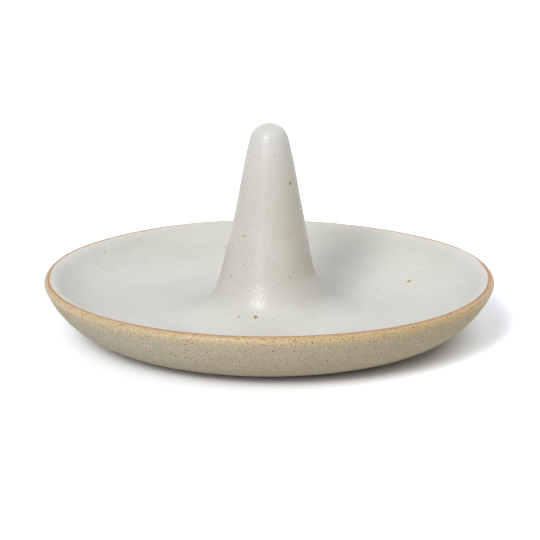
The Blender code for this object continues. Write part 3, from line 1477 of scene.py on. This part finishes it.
@dataclass
class HiddenClay:
    """The cone and the joint coil under the glaze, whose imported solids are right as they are."""

    finish: CoveredClayFinish
    nodes: tuple[str, ...] = ("cone", "joint_coil")

    def dress(self) -> None:
        """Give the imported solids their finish."""
        material = self.finish.material()
        for name in self.nodes:
            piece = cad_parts[name]
            for slot in piece.material_slots:
                slot.material = material
            LOG.info("%s: the packed solid, dressed", name)


@dataclass(frozen=True)
class Lamp:
    """A soft lamp far away, in degrees.

    Azimuth is from the front towards +X. Level is the share of its own colour that it adds
    to a surface that faces it.
    """

    name: str
    azimuth: float
    elevation: float
    width: float
    level: float

    def build(self) -> None:
        """Add the lamp."""
        data = bpy.data.lights.new(self.name, "SUN")
        data.angle = radians(self.width)
        data.energy = self.level * pi
        lamp = bpy.data.objects.new(self.name, data)
        turn, rise = radians(self.azimuth), radians(self.elevation)
        towards = Vector((sin(turn) * cos(rise), -cos(turn) * cos(rise), sin(rise)))
        lamp.rotation_mode = "QUATERNION"
        lamp.rotation_quaternion = towards.to_track_quat("Z", "Y")
        bpy.context.scene.collection.objects.link(lamp)


@dataclass
class Studio:
    """A plain pale floor under soft lamps and an even pale surround."""

    surround: float = 0.22
    floor_tone: float = 0.80
    floor_seen: tuple[float, float, float] = (1.47, 1.522, 1.632)
    floor_side: float = 6.0
    lamps: tuple[Lamp, ...] = (
        Lamp("key_lamp_low", -25, 25, 22, 0.13),
        Lamp("key_lamp", -25, 36, 17, 0.35),
        Lamp("key_lamp_high", -25, 50, 18, 0.15),
        Lamp("side_lamp", 60, 60, 40, 0.175),
        Lamp("back_right_lamp", 145, 42, 45, 0.12),
        Lamp("back_left_lamp", -150, 40, 45, 0.08),
    )

    def seen_directly(self, wiring: Wiring) -> Socket:
        """1 for the rays of the camera, of reflections and of glass, otherwise 0.

        Args:
            wiring: the wiring of the floor or the surround.

        Returns:
            The share.
        """
        path = wiring.add("LightPath", {}).outputs
        glossy = wiring.math("MAXIMUM", path["Is Camera Ray"], path["Is Glossy Ray"])
        return wiring.math("MAXIMUM", glossy, path["Is Transmission Ray"])

    def floor(self) -> None:
        """Add the floor, which looks white and still takes the object's shadow."""
        half = self.floor_side / 2
        mesh = bpy.data.meshes.new("studio_floor")
        corners = [(-half, -half, 0), (half, -half, 0), (half, half, 0), (-half, half, 0)]
        mesh.from_pydata(corners, [], [(0, 1, 2, 3)])
        material = bpy.data.materials.new("studio_floor")
        material.use_nodes = True
        nodes = material.node_tree.nodes
        nodes.remove(nodes["Principled BSDF"])
        wiring = Wiring(material.node_tree)
        plain = (self.floor_tone, self.floor_tone, self.floor_tone, 1)
        colour = wiring.mix(self.seen_directly(wiring), plain, (*self.floor_seen, 1))
        shader = wiring.add("BsdfDiffuse", {"Color": colour})
        wiring.feed(nodes["Material Output"].inputs["Surface"], shader.outputs[0])
        mesh.materials.append(material)
        floor = bpy.data.objects.new("studio_floor", mesh)
        bpy.context.scene.collection.objects.link(floor)

    def sky(self) -> None:
        """Make the surround: white where it is seen, dimmer as a light."""
        world = bpy.data.worlds.new("studio")
        world.use_nodes = True
        bpy.context.scene.world = world
        wiring = Wiring(world.node_tree)
        background = world.node_tree.nodes["Background"]
        background.inputs["Color"].default_value = (1, 1, 1, 1)
        shown = self.seen_directly(wiring)
        strength = wiring.math("MULTIPLY_ADD", shown, 1 - self.surround, self.surround)
        wiring.feed(background.inputs["Strength"], strength)

    def build(self) -> None:
        """Add the floor, the surround and the lamps."""
        self.floor()
        self.sky()
        for lamp in self.lamps:
            lamp.build()


def main() -> None:
    """Build the camera, the studio and the pot's pieces, in that order."""
    logging.basicConfig(level=logging.INFO, format="%(message)s")
    bpy.context.scene.view_settings.view_transform = "Standard"
    photograph = Photograph()
    photograph.build()
    Studio().build()
    sizes = PotSizes.from_frame()
    coat = Coat(sizes, sizes.section())
    edge = GlazeEdge(coat.mark(Mark.CREST) - GLAZE_INSET)
    angles = ring_angles(RING_COUNT, RING_FOCUS, RING_PULL)
    GlazeCoat(coat, edge, GlazeFinish(), photograph, angles).build()
    Saucer(coat, edge, BareClayFinish("past_edge"), angles).build()
    HiddenClay(CoveredClayFinish()).dress()


if __name__ == "__main__":
    main()
